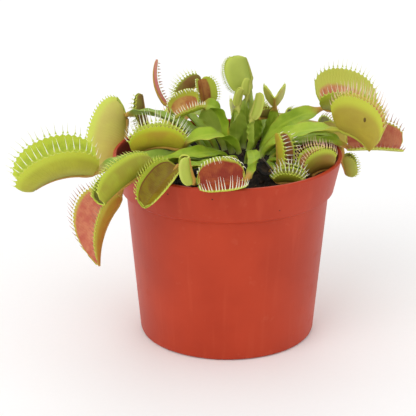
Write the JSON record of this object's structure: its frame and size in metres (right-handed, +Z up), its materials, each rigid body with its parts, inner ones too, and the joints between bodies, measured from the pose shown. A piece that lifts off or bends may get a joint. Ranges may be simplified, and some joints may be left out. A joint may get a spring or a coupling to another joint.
{
  "type": "potted venus flytrap",
  "caption": "Carnivorous house plant: a rosette of winged stalks with toothed two-lobed traps, growing in peat in a round tapered plastic nursery pot.",
  "frame": {"origin": "middle of the pot's underside, on the flat centre pad that lies in the plane the pot stands on", "axes": "+Z up along the pot's axis; +Y away from the side the picture shows; +X to that view's right"},
  "size_m": [0.156, 0.1263, 0.1064],
  "materials": {
    "pot_plastic": "satin moulded polypropylene, terracotta colour",
    "peat": "damp crumbly peat",
    "rhizome": "pale scaly leaf bases",
    "leaf": "satin green leaf; some traps red or orange inside",
    "dead_leaf": "dry blackened leaf"
  },
  "bodies": {
    "root": {"pot": "pot_plastic", "peat": "peat", "rhizome": "rhizome", "leaf_far_left": "leaf", "leaf_left_heart": "leaf", "leaf_left_slim": "leaf", "leaf_left_near": "leaf", "leaf_left_long": "leaf", "leaf_front_left": "leaf", "leaf_front_pod": "leaf", "leaf_front_red": "leaf", "leaf_front_dead": "dead_leaf", "leaf_front_low": "leaf", "leaf_right_stand": "leaf", "leaf_right_round": "leaf", "leaf_far_right": "leaf", "leaf_far_right_top": "leaf", "leaf_right_red": "leaf", "leaf_right_old": "leaf", "leaf_top_tall": "leaf", "leaf_young_front": "leaf", "leaf_young_back": "leaf", "leaf_top_folded": "leaf", "leaf_top_right_open": "leaf", "leaf_top_right_olive": "leaf", "leaf_top_red": "leaf", "leaf_top_left_olive": "leaf", "leaf_top_left_small": "leaf", "leaf_top_left_thin": "leaf", "leaf_left_hanging": "leaf", "leaf_dead_strip": "dead_leaf", "leaf_back_left": "leaf", "leaf_back_middle": "leaf", "leaf_back_right": "leaf", "leaf_right_back": "leaf", "leaf_back_low": "leaf"}
  },
  "joints": []
}
